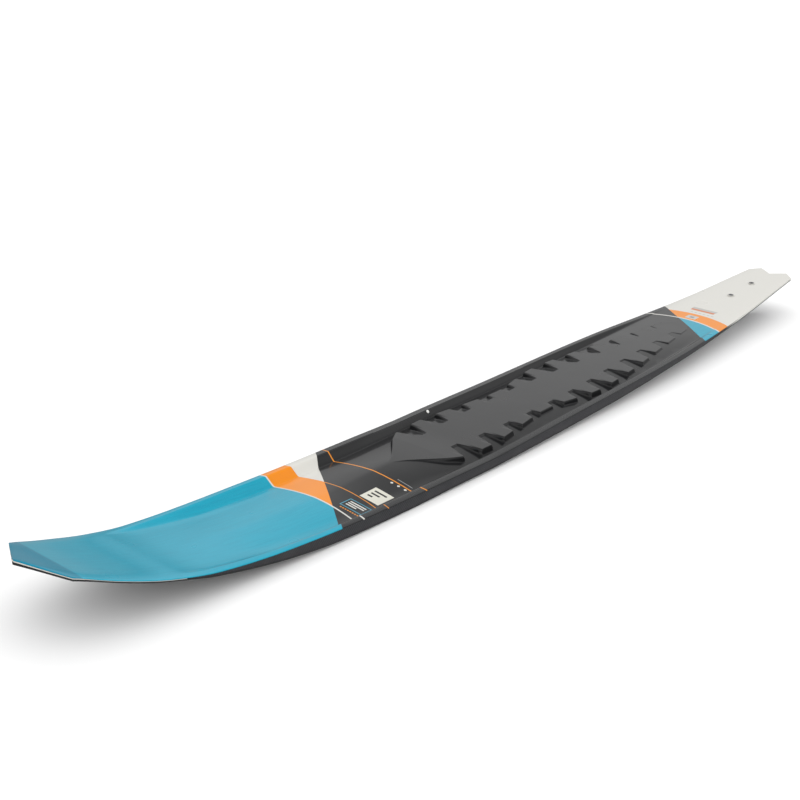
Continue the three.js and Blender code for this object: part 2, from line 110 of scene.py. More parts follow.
WASHER_PROFILE = [(3.4, 0.3), (6.0, 0.3), (6.15, 0.36), (6.2, 0.5), (6.14, 0.75), (5.8, 1.3), (5.4, 1.68),
                  (5.15, 1.84), (4.98, 1.86), (4.7, 1.62)]
PLUG_PROFILE = [(0, -4), (1.3, -4), (1.5, -3.8), (1.5, 0.3), (2.3, 0.3), (2.55, 0.38), (2.6, 0.55),
                (2.5, 0.8), (2.2, 1.08), (1.6, 1.3), (0.9, 1.38), (0.6, 1.36), (0.42, 1.1), (0, 1.05)]


def curve(points):
    """Monotone cubic through [station, value] points, held level past its ends."""
    x, v = np.array(points, float).T
    slope = np.diff(v) / np.diff(x)
    before, after = slope[:-1], slope[1:]
    total = np.where(before + after == 0, 1, before + after)
    inner = np.where(before * after <= 0, 0, 2 * before * after / total)
    tangent = np.concatenate([slope[:1], inner, slope[-1:]])

    def at(s):
        s = np.clip(np.asarray(s, float), x[0], x[-1])
        i = np.clip(np.searchsorted(x, s, side="right") - 1, 0, len(x) - 2)
        span = x[i + 1] - x[i]
        t = (s - x[i]) / span
        ease = t * t * (3 - 2 * t) * (v[i + 1] - v[i])
        return v[i] + ease + span * t * (1 - t) * ((1 - t) * tangent[i] - t * tangent[i + 1])

    return at


rocker = curve([(0, 14), (100, 8.8), (200, 3.6), (300, 0.8), (400, 0), (1000, 0), (1100, 2.9), (1250, 8),
                (1400, 17.2), (1500, 28.6), (1560, 42.6), (1620, 63.3), (NOSE_CORNER["station"], 85),
                (LENGTH, 100)])
outline = curve([(0, 42), (200, 59), (400, 75.5), (500, 82), (600, 85.2), (800, 88), (1000, 92),
                 (1150, 91.5), (1300, 90), (1400, 86.8), (1500, 80.5), (1600, 69),
                 (NOSE_CORNER["station"], 54)])
base_depth = curve([(0, 6.6), (200, 7.3), (300, 8.4), (420, 10.4), (520, 12.2), (620, 15.6), (720, 18.2),
                    (820, 18.6), (1000, 16.8), (1100, 17.6), (1200, 19), (1320, 18.9), (1390, 16.1),
                    (1450, 11.7), (1500, 7.8), (1550, 5.3), (1640, 5.2), (NOSE_CORNER["station"], 6.9),
                    (LENGTH, 9.7)])
bevel_depth = curve([(0, 0.9), (400, 1.4), (1400, 1.6), (1540, 0.7), (LENGTH, 0.7)])
tunnel_depth = curve([(250, 0), (500, 2.2), (1300, 2.5), (1500, 0)])
edge_drop = curve([(0, 0.8), (300, 1), (1000, 1.2), (LENGTH, 1.2)])
rim_width = curve([(0, 8), (500, 9), (1000, 11), (1150, 11), (1350, 8.5), (LENGTH, 9)])
floor_edge = curve([(0, 31), (300, 56.5), (400, 61), (600, 67.5), (850, 71.5), (1000, 74), (1140, 70),
                    (1300, 69), (1400, 65.5), (1560, 62), (NOSE_CORNER["station"], 42)])
floor_depth = curve([(300, 0), (400, 2.2), (500, 6), (600, 8.5), (850, 10), (1000, 10.5), (1140, 12),
                     (1300, 12.2), (1400, 9.8), (1450, 6.2), (1500, 2.8), (1545, 0)])
crown_depth = curve([(1060, 0), (1125, 1.2), (1250, 6.5), (1340, 6.5), (1450, 3.5), (1545, 0)])

# Toothed foot plateau
NOTCHES = {"count": 12, "pitch": 55.1, "first": 1016.0, "floor": 14.0, "rear_run": 9.0,
           "front_run": 13.0}
FULL_NOTCH_DEPTH = 40.0
notch_half = curve([(409, 14.2), (575, 22.5), (686, 31.2), (740, 34.4), (795, 36), (850, 36.3),
                    (905, 35.4), (960, 33.2), (1016, 27.9)])
tooth_half = curve([(380, 26), (500, 42), (600, 57), (710, 65), (830, 47.5), (900, 55), (990, 65),
                    (1045, 60)])
ARROW = [(1045, 60), (1066, 48), (1107, 13), (1125, 2)]
PLATEAU_REAR = (350, 8)
FIRST_TOOTH = 380
WALL_FOOT, WALL_HEAD = -1.4, 1.2   # a plateau wall rises between these distances from its outline
PLATEAU_MARGIN = 15
WALL_BLEND = 0.35                  # radius at the foot of the rail wall, as a share of its height
WALL_RADIUS = (0.01, 2.0)
DISH_END = 1.15                    # the dish's curve runs on to this share of the floor's half-width
CREST_RADIUS = 1.2
EDGE_RADIUS = 0.4
BEVEL_RADIUS = 0.25


def plateau_corners():
    corners = [PLATEAU_REAR, (FIRST_TOOTH, float(tooth_half(FIRST_TOOTH)))]
    for k in reversed(range(NOTCHES["count"])):
        rear = NOTCHES["first"] - NOTCHES["pitch"] * k
        front = rear + NOTCHES["floor"]
        half = float(notch_half(rear))
        share = min(1.0, float(tooth_half(rear) - half) / FULL_NOTCH_DEPTH)
        start, end = rear - NOTCHES["rear_run"] * share, front + NOTCHES["front_run"] * share
        corners += [(start, float(tooth_half(start))), (rear, half), (front, half),
                    (end, float(tooth_half(end)))]
    return corners + ARROW


PLATEAU = plateau_corners()


# ---- surfaces ----
def smoothstep(low, high, x):
    t = np.clip((x - low) / (high - low), 0, 1)
    return t * t * (3 - 2 * t)


def smooth_max(a, b, radius):
    h = np.clip(0.5 + 0.5 * (a - b) / radius, 0, 1)
    return b + (a - b) * h + radius * h * (1 - h)


def smooth_min(a, b, radius):
    return -smooth_max(-a, -b, radius)


def inside_plateau(s, y):
    """Distance from the plateau's outline, + inside it."""
    corners = np.array(PLATEAU + [(a, -b) for a, b in reversed(PLATEAU)], float)
    nearest = np.full(s.shape, np.inf)
    inside = np.zeros(s.shape, bool)
    for (x0, y0), (x1, y1) in zip(corners, np.roll(corners, -1, 0)):
        dx, dy = x1 - x0, y1 - y0
        t = np.clip(((s - x0) * dx + (y - y0) * dy) / (dx * dx + dy * dy), 0, 1)
        nearest = np.minimum(nearest, np.hypot(s - x0 - t * dx, y - y0 - t * dy))
        if dy:
            inside ^= ((y0 > y) != (y1 > y)) & (s < dx * (y - y0) / dy + x0)
    return np.where(inside, nearest, -nearest)


def nose_scale(s):
    """Past the nose corners the section keeps its shape and narrows to the tip."""
    run = np.clip((s - NOSE_CORNER["station"]) / (LENGTH - NOSE_CORNER["station"]), 0, 1)
    return 1 + (TIP_HALF_WIDTH / NOSE_CORNER["half_width"] - 1) * run


def nose_drop(s):
    run = (s - NOSE_FACET["station"]) / (LENGTH - NOSE_FACET["station"])
    return NOSE_FACET["drop"] * np.clip(run, 0, 1)


def half_width(s):
    return outline(np.minimum(s, NOSE_CORNER["station"])) * nose_scale(s)


def deck_height(s, y):
    """Top of the deck over the flat middle, rocker included."""
    s, y = np.broadcast_arrays(np.asarray(s, float), np.asarray(y, float))
    c = np.minimum(s, NOSE_CORNER["station"])
    across = np.abs(y) / nose_scale(s)
    outer = outline(c)
    crest = outer - rim_width(c)
    edge = floor_edge(c)
    deep, crown = floor_depth(s), crown_depth(s)
    floor = -(crown + (deep - crown) * np.minimum(across / edge, DISH_END) ** CROWN_POWER)
    near = (s > PLATEAU[0][0] - PLATEAU_MARGIN) & (s < PLATEAU[-1][0] + PLATEAU_MARGIN)
    distance = np.full(s.shape, WALL_FOOT * 2)
    distance[near] = inside_plateau(s[near], y[near])
    raised = smoothstep(WALL_FOOT, WALL_HEAD, distance)
    top = floor * (1 - raised) - crown * raised
    wall = -deep * (1 - (across - edge) / (crest - edge))
    z = smooth_max(top, np.minimum(wall, 0), np.clip(deep * WALL_BLEND, *WALL_RADIUS))
    rim = -edge_drop(s) * (across - crest) / (outer - crest)
    return smooth_min(z, rim, CREST_RADIUS) + rocker(s) - nose_drop(s)


def deck_under(s, y):
    """Underside of the deck sheet: it follows the dish and the rails, but not the plateau."""
    c = np.minimum(s, NOSE_CORNER["station"])
    across = np.abs(y) / nose_scale(s)
    outer = outline(c)
    crest = outer - rim_width(c) + CREST_SHIFT["deck"]
    edge = floor_edge(c) + 1
    deep, crown = floor_depth(s), crown_depth(s)
    floor = -(crown + (deep - crown) * np.minimum(across / edge, 1) ** CROWN_POWER)
    wall = -deep * np.clip(1 - (across - edge) / (crest - edge), 0, 1)
    rim = -edge_drop(s) * np.clip((across - crest) / (outer - crest), 0, 1)
    return np.where(across < edge, floor, wall + rim) - DECK_THICKNESS + rocker(s) - nose_drop(s)


def base_height(s, y):
    """Bottom of the base."""
    c = np.minimum(s, NOSE_CORNER["station"])
    across = np.abs(y) / nose_scale(s)
    outer = outline(c)
    hollow = tunnel_depth(s) * (1 - smoothstep(0, 1, across / (outer - BASE_BEVEL)))
    bevel = bevel_depth(s) * np.clip((across - outer + BASE_BEVEL) / BASE_BEVEL, 0, 1)
    return rocker(s) - base_depth(s) + hollow + smooth_max(bevel, np.zeros_like(bevel), BEVEL_RADIUS)


def tail_start(y):
    """Station of the tail's end: a notch between two tips, and a clipped corner outside each."""
    a = np.abs(y)
    notch = TAIL_NOTCH * (1 - a / TAIL_TIP_HALF_WIDTH)
    reach = TAIL_CORNER["half_width"] - TAIL_TIP_HALF_WIDTH
    clip = TAIL_CORNER["station"] * (a - TAIL_TIP_HALF_WIDTH) / reach
    return np.where(a < TAIL_TIP_HALF_WIDTH, notch, np.minimum(clip, TAIL_CORNER["station"]))


def warp_tail(s, y, reach=TAIL_WARP):
    """Stations near the tail bend so that the first one follows the swallow tail."""
    return s + tail_start(y) * np.clip(1 - s / reach, 0, 1)


def to_world(points):
    """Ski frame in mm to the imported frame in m."""
    s, y, z = np.moveaxis(np.asarray(points, float), -1, 0)
    turned = np.stack([s * math.cos(REST_PITCH) + z * math.sin(REST_PITCH), y,
                       -s * math.sin(REST_PITCH) + z * math.cos(REST_PITCH)], -1)
    return turned * MM + np.array(ORIGIN)


def ski_origin():
    """The ski frame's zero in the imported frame, from the middle of the box and the nose tip."""
    low, high = cad_box
    corners = []
    for s, y in ((LENGTH, 0), (0, TAIL_TIP_HALF_WIDTH)):
        for z in (float(deck_height(s, y)), float(base_height(s, y))):
            corners.append((s * math.cos(REST_PITCH) + z * math.sin(REST_PITCH),
                            z * math.cos(REST_PITCH) - s * math.sin(REST_PITCH)))
    x = [c[0] for c in corners]
    middle = (high.x + low.x) / 2 - (max(x) + min(x)) / 2 * MM
    return (middle, 0.0, high.z - max(c[1] for c in corners) * MM)


ORIGIN = ski_origin()
SKI_TO_WORLD = Matrix.Translation(ORIGIN) @ Matrix.Rotation(REST_PITCH, 4, "Y") @ Matrix.Scale(MM, 4)


# ---- mesh building ----
def add_mesh(name, points, faces, smooth_angle=35.0):
    """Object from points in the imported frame, shaded smooth but for edges sharper than the angle."""
    mesh = bpy.data.meshes.new(name)
    mesh.from_pydata([tuple(p) for p in points], [], faces)
    mesh.validate()
    obj = bpy.data.objects.new(name, mesh)
    bpy.context.scene.collection.objects.link(obj)
    return shade(obj, smooth_angle)


def shade(obj, smooth_angle=35.0):
    obj.data.shade_smooth()
    obj.data.set_sharp_from_angle(angle=math.radians(smooth_angle))
    return obj


def ring_bands(count, size):
    """Quads between closed rings of points."""
    faces = []
    for r in range(count - 1):
        for i in range(size):
            a, b = r * size + i, r * size + (i + 1) % size
            faces.append((a, b, b + size, a + size))
    return faces


def loft_faces(count, size):
    """Quads between rings, and across each end from the ring's upper half to its lower half."""
    faces = ring_bands(count, size)
    half = size // 2
    for start, turned in ((0, True), ((count - 1) * size, False)):
        for i in range(half - 1):
            quad = (start + i, start + i + 1, start + size - 2 - i, start + size - 1 - i)
            faces.append(quad[::-1] if turned else quad)
    return faces


def slab(name, stations, spread, top, bottom, warp=TAIL_WARP, smooth_angle=35.0):
    """Closed layer of the ski between two surfaces. spread(s) gives the half-widths of its points.

    Its points carry a depth, 0 on the upper surface and 1 on the lower one.
    """
    rings = []
    for s in stations:
        half = spread(s)
        y = np.concatenate([-half[:0:-1], half])
        station = warp_tail(s, y, warp)
        upper = np.stack([station, y, top(station, y)], -1)
        lower = np.stack([station, y, bottom(station, y)], -1)
        rings.append(np.concatenate([upper, lower[::-1]]))
    rings = np.array(rings)
    faces = [f[::-1] for f in loft_faces(len(stations), rings.shape[1])]
    obj = add_mesh(name, to_world(rings.reshape(-1, 3)), faces, smooth_angle)
    size = rings.shape[1] // 2
    depth = obj.data.attributes.new("depth", "FLOAT", "POINT")
    depth.data.foreach_set("value", np.tile(np.repeat([0.0, 1.0], size), len(rings)))
    return obj


def rounded(height, under):
    """The height with its outer edge turned down in a small round towards the under side."""
    def at(s, y):
        inset = np.clip(half_width(s) - np.abs(y), 0, EDGE_RADIUS) / EDGE_RADIUS
        drop = EDGE_RADIUS * (1 - np.sqrt(1 - (1 - inset) ** 2))
        return height(s, y) + (drop if under else -drop)
    return at


def lathe(name, profile, matrix, segments=48):
    """Closed turned solid from [radius, height] points that start and end on the axis."""
    points = [(0, 0, profile[0][1])]
    for k in range(segments):
        a = 2 * math.pi * k / segments
        points += [(r * math.cos(a), r * math.sin(a), z) for r, z in profile[1:-1]]
    points.append((0, 0, profile[-1][1]))
    rows = len(profile) - 2
    last = len(points) - 1
    faces = []
    for k in range(segments):
        a, b = 1 + k * rows, 1 + (k + 1) % segments * rows
        faces.append((0, b, a))
        faces += [(a + j, b + j, b + j + 1, a + j + 1) for j in range(rows - 1)]
        faces.append((last, a + rows - 1, b + rows - 1))
    return add_mesh(name, [matrix @ Vector(p) for p in points], faces)


def turned_ring(name, profile, matrix, segments=64):
    """Closed ring turned from a closed [radius, height] outline that runs anticlockwise."""
    rows = len(profile)
    points, faces = [], []
    for k in range(segments):
        a = 2 * math.pi * k / segments
        points += [(r * math.cos(a), r * math.sin(a), z) for r, z in profile]
        here, there = k * rows, (k + 1) % segments * rows
        faces += [(here + j, there + j, there + (j + 1) % rows, here + (j + 1) % rows)
                  for j in range(rows)]
    return add_mesh(name, [matrix @ Vector(p) for p in points], faces)


def combine(obj, others, operation):
    """Joins obj with the others or cuts it by them, and applies the modifiers."""
    for other in others:
        modifier = obj.modifiers.new("combine", "BOOLEAN")
        modifier.operation = operation
        modifier.object = other
        modifier.solver = "EXACT"
    bpy.context.view_layer.update()
    result = bpy.data.meshes.new_from_object(obj.evaluated_get(bpy.context.evaluated_depsgraph_get()))
    obj.modifiers.clear()
    obj.data = result
    for other in others:
        bpy.data.objects.remove(other)
    return shade(obj)


def finish_piece(obj, node, material):
    """The piece rides on the ski, stands for its CAD node and takes its material."""
    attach(obj, "root")
    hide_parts(node)
    obj.data.materials.clear()
    obj.data.materials.append(material)
    return obj


def stations_between(start, end, spacing, corners=()):
    """Even stations with the given corners among them."""
    knots = [start, *sorted(c for c in corners if start < c < end), end]
    parts = [np.linspace(a, b, max(1, math.ceil((b - a) / spacing)), endpoint=False)
             for a, b in zip(knots, knots[1:])]
    return np.concatenate([*parts, [end]])


# ---- layers of the ski ----
TEETH = np.array(PLATEAU, float)
NOSE_STATIONS = (NOSE_FACET["station"], NOSE_CORNER["station"])
EDGE_STEPS = EDGE_RADIUS * np.array([1.0, 0.62, 0.3, 0.08, 0.0])
# How far the close-set points round the plateau's wall reach, in mm or as a share of its half-width
WALL_POINTS = {"inward": 2.0, "outward": 1.9, "least_share": 0.45, "to_rail": 1.5, "least_run": 0.3}
RAIL_POINTS = {"foot": 2.0, "least": 0.5, "crest": 1.6}
# The deck is meshed from one station to the next with this spacing, closest along the plateau
DECK_STEPS = [(0, 336, 6), (336, 1140, 1.35), (1140, LENGTH, 5.5)]


def outer_half(s):
    """Half-width of the ring that starts at station s, before the tail bends it."""
    return float(half_width(s + TAIL_CORNER["station"] * max(0.0, 1 - s / TAIL_WARP)))


def deck_spread(s):
    """Half-widths of the deck's points: close together on the plateau wall, the rail wall and the edge."""
    c = min(s, NOSE_CORNER["station"])
    outer = outer_half(s)
    scale = float(nose_scale(s))
    crest = outer - float(rim_width(c)) * scale
    edge = float(floor_edge(c)) * scale * (outer / float(half_width(s)))
    foot, ahead, behind = (float(np.interp(s + step, TEETH[:, 0], TEETH[:, 1])) for step in (0, 1, -1))
    widen = math.hypot(1, (ahead - behind) / 2)
    foot *= scale
    wall_in = max(foot - WALL_POINTS["inward"] * widen, foot * WALL_POINTS["least_share"])
    wall_out = min(foot + WALL_POINTS["outward"] * widen, edge - WALL_POINTS["to_rail"] * scale)
    wall_out = max(wall_out, foot + WALL_POINTS["least_run"])
    wall = np.concatenate([np.linspace(wall_in, foot, 5)[:-1], np.linspace(foot, wall_out, 5)])
    middle = np.linspace(0, wall_in, 4)[:-1]
    dish_end = max(edge - RAIL_POINTS["foot"] * scale, wall_out + RAIL_POINTS["least"] * scale)
    dish = np.linspace(wall_out, dish_end, 5)[1:]
    rail = np.linspace(dish[-1], crest + RAIL_POINTS["crest"] * scale, 8)[1:]
    rim = np.linspace(rail[-1], outer - EDGE_RADIUS, 4)[1:-1]
    return np.concatenate([middle, wall, dish, rail, rim, outer - EDGE_STEPS])


TIP_LINE = int(np.argmin(np.abs(deck_spread(0.0) - TAIL_TIP_HALF_WIDTH)))


def deck_points(s):
    half = deck_spread(s)
    share = max(0.0, 1 - s / TAIL_WARP)
    tip = TAIL_TIP_HALF_WIDTH * outer_half(s) / TAIL_CORNER["half_width"]
    half[TIP_LINE] += (tip - half[TIP_LINE]) * share
    return half


def plain_spread(s):
    """Evenly spread half-widths with a line to the tail tip and a close-set edge."""
    outer = outer_half(s)
    tip = outer * TAIL_TIP_HALF_WIDTH / TAIL_CORNER["half_width"]
    inner = np.linspace(0, tip, 7)
    bevel = outer - BASE_BEVEL * float(nose_scale(s))
    outward = np.linspace(tip, max(bevel, tip + 0.5 * (outer - tip)), 5)[1:]
    edge = np.linspace(outward[-1], outer - EDGE_RADIUS, 4)[1:-1]
    return np.concatenate([inner, outward, edge, outer - EDGE_STEPS])


def deck_skin(material):
    corners = [*TEETH[:, 0], *NOSE_STATIONS]
    stations = np.unique(np.concatenate([stations_between(*step, corners) for step in DECK_STEPS]))
    obj = slab("deck", stations, deck_points, rounded(deck_height, False), deck_under, smooth_angle=50)
    return finish_piece(obj, "deck_sheet", material)


def base_top(s, y):
    return base_height(s, y) + BASE_THICKNESS


def base_skin(material):
    stations = stations_between(0, LENGTH, 9, NOSE_STATIONS)
    obj = slab("base", stations, plain_spread, base_top, rounded(base_height, True))
    return finish_piece(obj, "base_sheet", material)


def upper_bond(s, y):
    return deck_under(s, y) - BOND_GAP


def lower_bond(s, y):
    return base_top(s, y) + BOND_GAP


def tip_edge(material):
    stations = stations_between(TIP_BLOCK_START, LENGTH, 7, NOSE_STATIONS)
    obj = slab("nose_edge", stations, plain_spread, upper_bond, lower_bond)
    return finish_piece(obj, "tip_block", material)


def tail_block_spread(s):
    """Flush with the ski's edge at the tail end, then inside the sidewalls."""
    outer = float(half_width(s + TAIL_CORNER["station"] * max(0.0, 1 - s / TAIL_FLUSH)))
    if s > TAIL_FLUSH:
        outer = float(floor_edge(s)) + TAIL_BLOCK_INSET
    tip = outer * TAIL_TIP_HALF_WIDTH / TAIL_CORNER["half_width"]
    return np.concatenate([np.linspace(0, tip, 5), np.linspace(tip, outer, 5)[1:]])


def tail_edge(material):
    def inside(s):
        """Room for a laminate, past the part that shows at the tail's end."""
        return np.where(s > TAIL_FLUSH + 1, LAMINATE_THICKNESS + BOND_GAP, 0)

    def top(s, y):
        return upper_bond(s, y) - inside(s)

    def bottom(s, y):
        return lower_bond(s, y) + inside(s)

    stations = [*np.linspace(0, TAIL_FLUSH, 6), *stations_between(TAIL_FLUSH + 1.5, TAIL_BLOCK_END, 14)]
    obj = slab("tail_edge", stations, tail_block_spread, top, bottom, warp=TAIL_FLUSH)
    return finish_piece(obj, "tail_block", material)


def sidewall(side, name, node, material):
    """Long edge bar: an upright outer face with small rounds, the rail above and the base below."""
    def ring(s):
        w, inner = float(half_width(s)), float(floor_edge(s)) + SIDEWALL_INSET
        top = float(upper_bond(s, w))
        bottom = float(lower_bond(s, w))
        crest = w - float(rim_width(s)) + CREST_SHIFT["sidewall"]
        bevel = w - BASE_BEVEL
        section = [(w - inset, top - drop) for inset, drop in SIDEWALL_ROUND]
        section[0] = (section[0][0], top + SIDEWALL_LIFT)
        section.append((w, (top + bottom) / 2))
        section += [(w - inset, bottom + rise) for inset, rise in reversed(SIDEWALL_ROUND)]
        section += [(y, float(lower_bond(s, y))) for y in (bevel, inner)]
        section += [(y, float(deck_under(s, y)) - SIDEWALL_GAP) for y in (inner, crest)]
        return [(s, side * y, z) for y, z in section]

    stations = stations_between(SIDEWALL_START, CORE_END, 8)
    rings = np.array([ring(s) for s in stations])
    count, size = rings.shape[:2]
    faces = ring_bands(count, size)
    ends = [tuple(reversed(range(size))), tuple(range((count - 1) * size, count * size))]
    faces = [f if side > 0 else f[::-1] for f in faces + ends]
    obj = add_mesh(name, to_world(rings.reshape(-1, 3)), faces)
    return finish_piece(obj, node, material)


# ---- fin, screws and plug ----
FIN_FRAME = (SKI_TO_WORLD @ Matrix.Translation((FIN_STATION, 0, float(rocker(FIN_STATION))))
             @ Matrix.Rotation(FIN_SLOPE, 4, "Y"))


def screw_frame(station):
    offset = (station - FIN_STATION) / math.cos(FIN_SLOPE)
    return FIN_FRAME @ Matrix.Translation((offset, 0, 0))


def stadium(half_length, radius, steps=12):
    """Outline of a plate with round ends."""
    turns = np.linspace(-math.pi / 2, math.pi / 2, steps + 1)
    right = [(half_length + radius * math.cos(a), radius * math.sin(a)) for a in turns]
    return right + [(-x, -y) for x, y in right]


def stack(name, rings):
    """Closed solid through rings of points that run anticlockwise seen from above, the top one first."""
    count, size = len(rings), len(rings[0])
    faces = [face[::-1] for face in ring_bands(count, size)]
    faces += [tuple(range(size)), tuple(reversed(range((count - 1) * size, count * size)))]
    return add_mesh(name, [FIN_FRAME @ Vector(p) for ring in rings for p in ring], faces)


def fin_plate():
    """Flange with rounded rims."""
    top, bottom = FLANGE["top"], FLANGE["top"] - FLANGE["thickness"]
    radius = FLANGE["width"] / 2
    half_length = FLANGE["length"] / 2 - radius
    levels = [(top - drop, inset) for drop, inset in FLANGE_RIM["top"]]
    levels += [(bottom + rise, inset) for rise, inset in FLANGE_RIM["bottom"]]
    rings = [[(x, y, z) for x, y in stadium(half_length, radius - inset)] for z, inset in levels]
    return stack("fin", rings)


def blade_chord(depth):
    """Trailing and leading ends of the blade at a share of its depth: swept front, round tip."""
    tip_round = max(0.0, (depth - BLADE_TIP["start"]) / (1 - BLADE_TIP["start"]))
    tip_round = min(tip_round, 1.0)
    rear = (BLADE["rear"] + BLADE["rear_sweep"] * depth ** 2
            + BLADE_TIP["rear"] * (1 - math.sqrt(1 - tip_round ** 2)))
    sweep = 1 - math.sqrt(1 - min(depth, 0.999) ** BLADE["sweep_power"])
    return rear, BLADE["front"] - BLADE["front_sweep"] * sweep - BLADE_TIP["front"] * tip_round ** 2


def fin_blade():
    """Blade with a foil section, thin at its edges and flared where it meets the flange."""
    root = FLANGE["top"] - FLANGE["thickness"] + BLADE["overlap"]
    rings = []
    shares = 1 - (1 - np.linspace(0, 1, 33)) ** 1.4
    turns = np.linspace(0, 2 * math.pi, 72, endpoint=False)
    for share in shares:
        rear, front = blade_chord(float(share))
        middle, reach = (rear + front) / 2, (front - rear) / 2
        below = share * BLADE["depth"]
        flare = BLADE_FLARE["width"] * max(0.0, 1 - below / BLADE_FLARE["depth"]) ** 2
        thin = BLADE["thickness"] / 2 * math.sqrt(max(0.05, 1 - share ** 4))
        ring = []
        for a in turns:
            u = math.cos(a)
            foil = (1 - abs(u) ** 6) * (1 - BLADE_EDGE) + BLADE_EDGE * math.sqrt(max(0.0, 1 - u * u))
            half = math.copysign(foil * thin + flare, math.sin(a))
            ring.append((middle + reach * u, half, root - below))
        rings.append(ring)
    return stack("fin_blade", rings)


def fin_boss(station):
    """Round pillar under the flange that holds a threaded insert."""
    top, bottom = FLANGE["top"] - BOSS_OVERLAP, FLANGE["top"] - BOSS_DEPTH
    wall = [(r, bottom + rise) for r, rise in BOSS_PROFILE]
    profile = [(0, bottom), *wall, (wall[-1][0], top), (0, top)]
    return lathe("boss", profile, screw_frame(station))


def insert_pocket(station):
    radius, bottom = POCKET["radius"], POCKET["bottom"]
    return lathe("pocket", [(0, bottom), (radius, bottom), (radius, 0), (0, 0)], screw_frame(station))


def fin(material):
    plate = fin_plate()
    combine(plate, [fin_blade(), *map(fin_boss, SCREW_STATIONS.values())], "UNION")
    combine(plate, list(map(insert_pocket, SCREW_STATIONS.values())), "DIFFERENCE")
    return finish_piece(plate, "fin", material)


def cross_recess(matrix):
    """Tapered cross that is cut into a screw head."""
    points, faces = [], []
    for z, reach, width in RECESS:
        for k in range(4):
            turn = Matrix.Rotation(k * math.pi / 2, 4, "Z")
            for x, y in ((width, -width), (reach, -width), (reach, width)):
                points.append(turn @ Vector((x, y, z)))
    ring = len(points) // 2
    for i in range(ring):
        j = (i + 1) % ring
        faces.append((j, i, i + ring, j + ring))
    faces += [tuple(range(ring)), tuple(reversed(range(ring, 2 * ring)))]
    return add_mesh("recess", [matrix @ p for p in points], faces)


def fin_screw(place, station, material):
    """Oval-head screw: domed head with a cross recess, countersink, threaded shank and blunt end."""
    matrix = screw_frame(station)
    root, crest = THREAD["root"], THREAD["crest"]
    start, end, foot = THREAD_STEPS
    thread = []
    for z in np.arange(THREAD["start"], THREAD["end"], THREAD["pitch"]):
        thread += [(root, z), (crest, z + start), (crest, z + end), (root, z + foot)]
    screw = lathe(f"{place}_screw", [*SCREW_POINT, *thread, *SCREW_HEAD], matrix, 56)
    combine(screw, [cross_recess(matrix)], "DIFFERENCE")
    return finish_piece(screw, f"{place}_fin_screw", material)


def fin_washer(place, station, material):
    """Cup washer under the screw head."""
    obj = turned_ring(f"{place}_washer", WASHER_PROFILE, screw_frame(station))
    return finish_piece(obj, f"{place}_fin_washer", material)


def vent_plug(material):
    """Domed plug pressed into the inner wall of the right-hand rail."""
    crest = float(outline(VENT_STATION) - rim_width(VENT_STATION))
    edge, deep = float(floor_edge(VENT_STATION)), float(floor_depth(VENT_STATION))
    wall_y = edge + (crest - edge) * VENT_HEIGHT
    wall_z = -deep * (1 - VENT_HEIGHT) + float(rocker(VENT_STATION))
    matrix = (SKI_TO_WORLD @ Matrix.Translation((VENT_STATION, -wall_y, wall_z))
              @ Matrix.Rotation(-math.atan2(deep, crest - edge), 4, "X"))
    return finish_piece(lathe("vent_cap", PLUG_PROFILE, matrix, 40), "vent_plug", material)


# ---- shader helpers ----
class Field:
    """A number that varies over a surface, made of Math nodes."""

    def __init__(self, tree, socket):
        self.tree = tree
        self.socket = socket

    def math(self, operation, *others, clamp=False):
        node = self.tree.nodes.new("ShaderNodeMath")
        node.operation = operation
        node.use_clamp = clamp
        for slot, value in zip(node.inputs, (self, *others)):
            if isinstance(value, Field):
                self.tree.links.new(value.socket, slot)
            else:
                slot.default_value = value
        return Field(self.tree, node.outputs[0])

    def __add__(self, other):
        return self.math("ADD", other)

    def __sub__(self, other):
        return self.math("SUBTRACT", other)

    def __mul__(self, other):
        return self.math("MULTIPLY", other)

    def __abs__(self):
        return self.math("ABSOLUTE")

    def above(self, edge, blur=0.35):
        """1 where the field is over the edge."""
        return self.math("MULTIPLY_ADD", 1 / blur, 0.5 - edge / blur, clamp=True)

    def below(self, edge, blur=0.35):
        return self.math("MULTIPLY_ADD", -1 / blur, 0.5 + edge / blur, clamp=True)

    def between(self, low, high, blur=0.35):
        return self.above(low, blur) * self.below(high, blur)

    def times(self, scale, offset=0.0):
        return self.math("MULTIPLY_ADD", scale, offset)

    def tows(self, width):
        """Number of the strip of this width that the point lies in."""
        return (self * (1 / width)).math("FLOOR")


